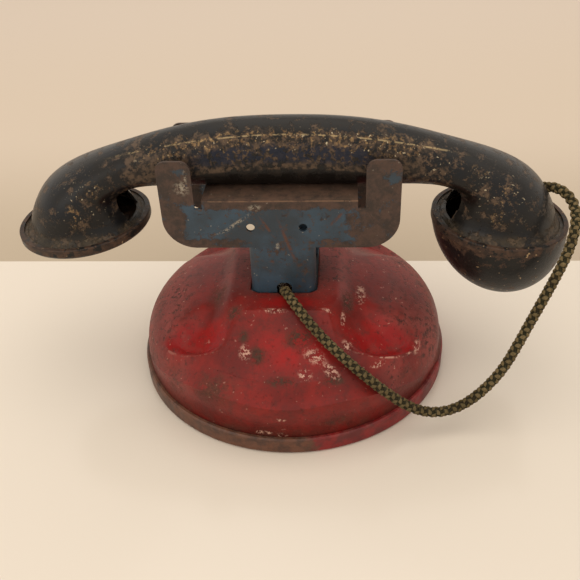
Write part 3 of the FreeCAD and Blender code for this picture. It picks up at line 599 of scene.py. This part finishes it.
def red_enamel():
    """Old red enamel: bright in the hollows, paler and pinker on the shoulders, pitted, chipped and rusty.
    """
    s = Shader("worn_red_enamel", specular=0.22)
    cloudy, grit = s.noise(15, 5, 0.62), s.noise(0.7, 3, 0.6, 5)
    colour, pale_shoulders_and_top, crease = red_paint(s, cloudy)
    low = s.times(s.fade(s.axis("Z"), 13.0, 4.0), s.specks(0.35, 0.6, 9, 5, 0.6, 8))
    rust_mask = s.balls(RED_RUST, 0.9)
    rust_mask = s.times(rust_mask, s.specks(0.38, 0.58, 2.6, 8, 0.8, 9))
    rust = s.mix(s.specks(0.4, 0.6, 1.2, 6, 0.8, 14), rgb(92, 58, 44), rgb(62, 46, 36))
    colour = s.mix(s.most(s.times(rust_mask, 0.85), s.times(low, 0.7)), colour, rust)
    dark_spots = s.balls(RED_SPOTS, 0.8)
    dark = s.times(dark_spots, s.specks(0.42, 0.54, 1.8, 8, 0.8, 12))
    colour = s.mix(s.times(dark, 0.9), colour, rgb(66, 52, 40))
    grime = s.specks(0.50, 0.60, 2.6, 6, 0.75, 21)
    colour = s.mix(s.times(grime, s.fade(pale_shoulders_and_top, 0.0, 1.0, 0.32, 0.85)), colour, rgb(70, 38, 32))
    pitting = s.fade(s.plus(s.noise(1.5, 4, 0.66, 3), s.times(pale_shoulders_and_top, 0.09)), 0.61, 0.66)
    colour = s.mix(s.times(pitting, s.fade(pale_shoulders_and_top, 0.0, 0.5, 0.35, 0.8)), colour, rgb(66, 38, 32))
    chips = s.balls(RED_CHIPS, 0.7)
    chips = s.times(chips, s.specks(0.51, 0.54, 1.1, 5, 0.72, 17))
    dust = s.times(s.specks(0.68, 0.71, 1.4, 2, 0.5, 31), s.fade(pale_shoulders_and_top, 0.0, 1.0, 0.25, 0.7))
    colour = s.mix(s.most(s.times(chips, 0.85), s.times(crease, 0.6), dust), colour, rgb(214, 168, 148))
    wear = s.most(s.times(pale_shoulders_and_top, 0.8), rust_mask, dark, low)
    roughness = s.plus(s.fade(wear, 0.0, 1.0, 0.38, 0.62), s.fade(grit, 0.4, 0.7, 0.0, 0.10))
    height = s.minus(s.plus(s.times(grit, 0.25), s.times(cloudy, 0.8)), s.times(pitting, 0.5))
    height = s.minus(height, s.times(s.most(dark, rust_mask, chips), 0.35))
    return s.finish(colour, roughness, height, 0.16)


def pan_tin():
    """Foot band: brown tin at the left and front, with red enamel left on its right side."""
    s = Shader("foot_band", specular=0.4)
    x, z = s.axis("X"), s.axis("Z")
    brown = s.mix(s.specks(0.4, 0.62, 3.5, 6, 0.7), rgb(104, 66, 48), rgb(72, 48, 38))
    red = s.mix(s.specks(0.4, 0.6, 6, 5, 0.65, 2), rgb(134, 30, 30), rgb(96, 30, 30))
    side = s.plus(s.fade(x, -8.0, 26.0, 0.0, 0.55), s.noise(7, 6, 0.7, 4))
    colour = s.mix(s.fade(side, 0.62, 0.86), brown, red)
    # Painted highlight: pale specks along the band's protruding top edge.
    edge = s.times(s.fade(z, 5.2, 6.0), s.specks(0.46, 0.56, 2.4, 5, 0.7, 6))
    colour = s.mix(s.times(edge, 0.10), colour, rgb(168, 130, 110))
    roughness = s.fade(s.noise(4, 4, 0.6, 3), 0.3, 0.7, 0.38, 0.6)
    return s.finish(colour, roughness, s.noise(1.2, 5, 0.65, 5), 0.10)


def cradle_wear(s, x, z):
    """Mask for the rust on the cradle: its ears, its fold and its lower edges."""
    flake = s.noise(4.0, 9, 0.78, 3)
    left_ear = s.times(s.fade(z, 66.0, 70.0), s.fade(x, -24.0, -26.0))
    outside = s.most(s.fade(x, 15.0, 26.0), s.fade(x, -29.0, -35.0), left_ear)
    fold = s.times(s.fade(z, 65.0, 68.0), s.fade(s.apart(x), 27.0, 24.0))
    low_edge = s.times(s.fade(s.apart(z, 53.5), 3.2, 1.0),
                       s.fade(s.apart(x, NECK_X), 9.0, 15.0))
    blue_left = s.balls(BLUE_LEFT, 0.8)
    bias = s.minus(s.most(s.times(outside, 0.20), s.times(fold, 0.24), s.times(low_edge, 0.16)),
                  s.times(blue_left, 0.16))
    return s.fade(s.plus(flake, bias), 0.55, 0.62)


def cradle_enamel():
    """Slate-blue enamel, worn to brown rust on the ears, the fold and the lower edges."""
    s = Shader("worn_blue_enamel", specular=0.4)
    x, z = s.axis("X"), s.axis("Z")
    blue = s.mix(s.specks(0.35, 0.65, 11, 5, 0.6), rgb(56, 76, 91), rgb(48, 58, 66))
    rust = s.mix(s.specks(0.4, 0.62, 3.2, 6, 0.7, 5), rgb(82, 62, 52), rgb(56, 46, 40))
    worn = cradle_wear(s, x, z)
    colour = s.mix(worn, blue, rust)
    dots = s.specks(0.57, 0.62, 1.9, 5, 0.7, 23)
    colour = s.mix(s.times(dots, 0.8), colour, rgb(74, 56, 45))
    flecks = s.specks(0.69, 0.72, 1.2, 2, 0.5, 33)
    colour = s.mix(s.times(flecks, 0.6), colour, rgb(160, 152, 136))
    streaks = s.balls(BLUE_STREAKS, 0.8)
    streaks = s.times(streaks, s.specks(0.40, 0.52, 2.2, 6, 0.7, 9))
    colour = s.mix(s.times(streaks, 0.85), colour, rgb(92, 58, 42))
    pale = s.balls(BLUE_PALE, 0.9)
    pale = s.times(pale, s.specks(0.48, 0.54, 1.0, 5, 0.72, 12))
    colour = s.mix(s.times(pale, 0.75), colour, rgb(170, 160, 142))
    # Painted highlight: a pale brown line along the shelf's fold.
    fold_highlight = s.times(s.fade(s.apart(z, 69.3), 0.4, 0.1),
                        s.fade(s.apart(x), 24.2, 23.6),
                        s.specks(0.35, 0.55, 3, 5, 0.7, 15))
    colour = s.mix(s.times(fold_highlight, 0.6), colour, rgb(140, 108, 84))
    roughness = s.fade(worn, 0.0, 1.0, 0.40, 0.58)
    height = s.minus(s.times(s.noise(1.0, 4, 0.6, 8), 0.4), s.times(s.most(worn, pale, streaks), 0.5))
    return s.finish(colour, roughness, height, 0.12)


def black_enamel():
    """Black enamel on the hand-set, flaked to brown steel with bright bare specks along its sides."""
    s = Shader("worn_black_enamel", specular=0.28)
    x, z = s.axis("X"), s.axis("Z")
    reach = s.apart(x)
    arch = s.plus(z, s.times(x, x, 0.0025))     # height, evened out along the handle's bend
    flake, fine = s.noise(3.6, 7, 0.74, 1), s.noise(1.2, 4, 0.66, 4)
    black = s.mix(s.specks(0.42, 0.62, 12, 4, 0.6), rgb(24, 21, 18), rgb(19, 20, 23))
    brown = s.mix(s.specks(0.42, 0.58, 1.9, 4, 0.65, 6), rgb(90, 72, 56), rgb(42, 35, 29))
    side = s.times(s.fade(arch, 91.0, 87.6), s.fade(arch, 72.0, 77.5))
    bells = s.balls(BLACK_BELLS, 0.8)
    flared = s.fade(z, 59.0, 56.4)
    side = s.times(side, s.fade(reach, 60.0, 42.0), 0.12)
    bias = s.most(side, s.times(bells, 0.05), s.times(flared, 0.09), 0.01)
    worn = s.fade(s.plus(flake, bias), 0.55, 0.60)
    colour = s.mix(s.times(worn, 0.9), black, brown)
    band = s.times(s.fade(arch, 89.9, 88.2), s.fade(arch, 82.0, 86.0))
    band = s.times(band, s.fade(reach, 52.0, 34.0, 0.0, 0.8))
    gold_area = s.most(band, s.balls(BLACK_GOLD, 1.0))
    gold = s.times(gold_area, s.fade(s.plus(fine, s.times(gold_area, 0.05)), 0.58, 0.62))
    gold_colour = s.mix(s.fade(flake, 0.4, 0.6), rgb(124, 94, 62), rgb(188, 152, 100))
    colour = s.mix(s.times(gold, 0.65), colour, gold_colour)
    glints = s.times(s.most(gold_area, s.times(bells, 0.6)), s.specks(0.66, 0.70, 0.9, 2, 0.5, 9))
    colour = s.mix(glints, colour, rgb(226, 208, 172))
    flaked = s.times(s.fade(s.apart(arch, 82.6), 4.0, 1.4),
                     s.specks(0.47, 0.50, 2.2, 5, 0.7, 13), s.fade(reach, 34.0, 22.0))
    colour = s.mix(s.times(flaked, 0.9), colour, rgb(24, 30, 46))
    # Painted highlight: a thin pale line along the top of the handle.
    ridge_highlight = s.times(s.fade(s.apart(arch, 87.8), 0.25, 0.1), s.fade(reach, 58.0, 44.0),
                    s.specks(0.47, 0.55, 2.5, 6, 0.7, 19))
    colour = s.mix(s.times(ridge_highlight, 0.6), colour, rgb(190, 166, 122))
    # Painted shade: the handle's underside between the ears is made nearly black.
    underside_shade = s.fade(arch, 77.9, 77.1)
    colour = s.mix(s.times(underside_shade, s.fade(reach, 36.0, 31.0), 0.9), colour, rgb(20, 17, 15))
    olive = s.times(flared, s.specks(0.3, 0.6, 7, 4, 0.6, 16), 0.5)
    colour = s.mix(olive, colour, rgb(80, 67, 47))
    roughness = s.plus(s.fade(worn, 0.0, 1.0, 0.30, 0.46), s.times(gold, -0.08))
    height = s.minus(s.times(s.noise(0.8, 4, 0.65, 8), 0.35), s.times(worn, 0.45))
    height = s.minus(height, s.times(s.most(gold, flaked), 0.3))
    return s.finish(colour, roughness, height, 0.16)


def cap_enamel():
    """Black caps with a browned rim and sparse rust specks."""
    s = Shader("cap_enamel", specular=0.24)
    z = s.axis("Z")
    black = s.mix(s.specks(0.4, 0.62, 9, 5, 0.6), rgb(28, 26, 24), rgb(22, 22, 22))
    rim = s.times(s.fade(z, 50.5, 54.0), 0.12)
    worn = s.fade(s.plus(s.noise(3.0, 6, 0.72, 3), rim), 0.56, 0.60)
    brown = s.mix(s.specks(0.4, 0.6, 2.4, 6, 0.7, 5), rgb(84, 62, 48), rgb(56, 43, 36))
    colour = s.mix(s.times(worn, 0.85), black, brown)
    glints = s.specks(0.68, 0.71, 1.3, 2, 0.5, 7)
    colour = s.mix(s.times(glints, 0.6), colour, rgb(196, 164, 122))
    roughness = s.fade(worn, 0.0, 1.0, 0.36, 0.52)
    return s.finish(colour, roughness, s.noise(1.0, 5, 0.65, 8), 0.08)


def yarn(name, light, dark):
    """Cotton yarn with fine fibres and slow changes of tint."""
    s = Shader(name, specular=0.15)
    fibre = s.noise(0.28, 4, 0.7, stretch=(1.6, 1.6, 1))
    colour = s.mix(s.specks(0.38, 0.62, 7, 4, 0.6, 2), rgb(*light), rgb(*dark))
    darker = tuple(v * 0.62 for v in light)
    colour = s.mix(s.fade(fibre, 0.62, 0.40, 0.0, 0.7), colour, rgb(*darker))
    return s.finish(colour, 0.85, fibre, 0.12)


def aged_metal(name, clean, stain, polish, amount=0.55):
    """Bare or plated metal with dull stains."""
    s = Shader(name, metallic=1.0)
    cloudy = s.fade(s.plus(s.noise(5, 7, 0.7), s.noise(1.1, 4, 0.6, 3)), 1.0, 1.22)
    s.feed(s.shader.inputs["Metallic"], s.fade(cloudy, 0.0, 1.0, 1.0, 0.4))
    colour = s.mix(s.times(cloudy, amount), rgb(*clean), rgb(*stain))
    roughness = s.fade(cloudy, 0.0, 1.0, polish, 0.6)
    return s.finish(colour, roughness, s.noise(0.8, 4, 0.6, 6), 0.04)


def cream_enamel():
    """Yellowed number plate with fine scratches."""
    s = Shader("cream_enamel")
    colour = s.mix(s.specks(0.4, 0.7, 5, 6, 0.7), rgb(212, 200, 168), rgb(176, 156, 120))
    colour = s.mix(s.times(s.specks(0.62, 0.68, 1.3, 5, 0.7, 3), 0.7), colour, rgb(96, 72, 52))
    return s.finish(colour, 0.42, s.noise(0.9, 4, 0.6, 4), 0.04)


def digit_ink():
    """Printed black with slightly worn patches."""
    s = Shader("digit_ink")
    colour = s.mix(s.specks(0.5, 0.66, 0.9, 5, 0.7), rgb(30, 28, 28), rgb(84, 74, 62))
    return s.finish(colour, 0.5, s.noise(0.5, 3, 0.6, 2), 0.02)


def set_material(piece, material):
    """Give every slot of a piece the same material, with a slot added where it has none."""
    if not piece.material_slots:
        piece.data.materials.append(material)
    for slot in piece.material_slots:
        slot.material = material


def paint_nodes():
    """Better materials for the CAD nodes that show as they are."""
    steel = aged_metal("dull_steel", (158, 154, 146), (92, 66, 48), 0.34)
    nickel = aged_metal("old_nickel", (196, 190, 178), (120, 98, 74), 0.22, 0.4)
    brass = aged_metal("dark_brass", (176, 142, 78), (92, 70, 40), 0.32)
    looks = {
        cradle_enamel(): ["cradle", "neck_clamp_plate"],
        pan_tin(): ["base_pan"],
        black_enamel(): ["handset_shell"],
        cap_enamel(): ["earpiece_cap", "mouthpiece_cup"],
        yarn("knotted_yarn", (112, 100, 66), (70, 72, 48)): ["cord_knot_base", "cord_knot_handset"],
        cream_enamel(): ["dial_number_plate"],
        nickel: ["dial_finger_wheel", "dial_hub_washer", "finger_stop", "gong"],
        brass: ["dial_bushing", "gong_nut", "striker_hammer"],
        steel: ["dial_spindle", "dial_spacer_sleeve", "trip_star_wheel", "gong_post", "striker_lever",
                "striker_wire", "striker_pivot_pin", "striker_pivot_washer", "striker_spring"],
    }
    for material, nodes in looks.items():
        for node in nodes:
            set_material(bpy.data.objects[node], material)


# ---- Pieces ---------------------------------------------------------------------------------
def add_cord():
    """The braid in place of the plain tube, bending between the base and the hand-set."""
    cord, path = braided_cord()
    cord.data.materials.append(yarn("light_yarn", (130, 112, 78), (100, 86, 56)))
    # This darker yarn is painted shade on the strands where they dip, and the colour of the core.
    cord.data.materials.append(yarn("shaded_dip_and_core_yarn", (60, 58, 40), (60, 50, 36)))
    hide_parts("cord")
    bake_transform(cord)


def add_base():
    """The pressed shell with its facet and hollows in place of the plainer CAD one."""
    skin = base_skin()
    skin.data.materials.append(red_enamel())
    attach(skin, "base")
    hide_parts("base_shell")


def add_digits():
    """The dial's numbers, in worn black print."""
    ink = digit_ink()
    for digit in dial_numbers():
        set_material(digit, ink)


add_cord()
add_base()
paint_nodes()
add_digits()


# ---- Floor and light ------------------------------------------------------------------------
TABLE_EDGE_Y = 0.056        # metres; the pale table ends here and the cream strip begins


def add_sheet(name, y_low, y_high, material):
    """Flat sheet at floor level, for the stage only."""
    mesh = bpy.data.meshes.new(name)
    mesh.from_pydata([(-2, y_low, 0), (2, y_low, 0), (2, y_high, 0), (-2, y_high, 0)], [], [(0, 1, 2, 3)])
    mesh.materials.append(material)
    floor = bpy.data.objects.new(name, mesh)
    scene.collection.objects.link(floor)


def make_floor():
    """Pale glossy table, with a cream strip beyond it where the wall stands in the photograph."""
    table = Shader("table", specular=0.5)
    add_sheet("table", -1.5, TABLE_EDGE_Y, table.finish(rgb(232, 222, 208), 0.16))
    s = Shader("beyond", specular=0.1)
    # Painted shade: the cream strip is darker next to the table edge and lightens away from it.
    wall = s.mix(s.fade(s.axis("Y"), 50.0, 190.0), rgb(192, 177, 156), rgb(214, 199, 181))
    wall = s.mix(s.fade(s.axis("Y"), 190.0, 450.0), wall, rgb(216, 202, 187))
    add_sheet("beyond", TABLE_EDGE_Y, 2.5, s.finish(wall, 0.9))


def add_area(name, place, aim, size, energy, tint):
    """Soft rectangular light."""
    data = bpy.data.lights.new(name, "AREA")
    data.shape = "RECTANGLE"
    data.size, data.size_y = size
    data.energy = energy
    data.color = tint
    light = bpy.data.objects.new(name, data)
    light.location = place
    light.rotation_euler = (Vector(aim) - Vector(place)).to_track_quat("-Z", "Y").to_euler()
    scene.collection.objects.link(light)


def make_world():
    """Even, slightly warm light from all round."""
    world = bpy.data.worlds.new("world")
    world.use_nodes = True
    background = world.node_tree.nodes["Background"]
    background.inputs["Color"].default_value = rgb(235, 226, 215)
    background.inputs["Strength"].default_value = 1.1
    scene.world = world


make_floor()
add_area("key", (0.05, 0.10, 1.0), (0, 0, 0.03), (1.1, 0.9), 2.2, (1.0, 0.95, 0.88))
add_area("fill", (-0.50, -0.45, 0.5), (0, 0, 0.05), (0.5, 0.5), 0.7, (1.0, 0.96, 0.90))
make_world()
scene.view_settings.view_transform = "Standard"
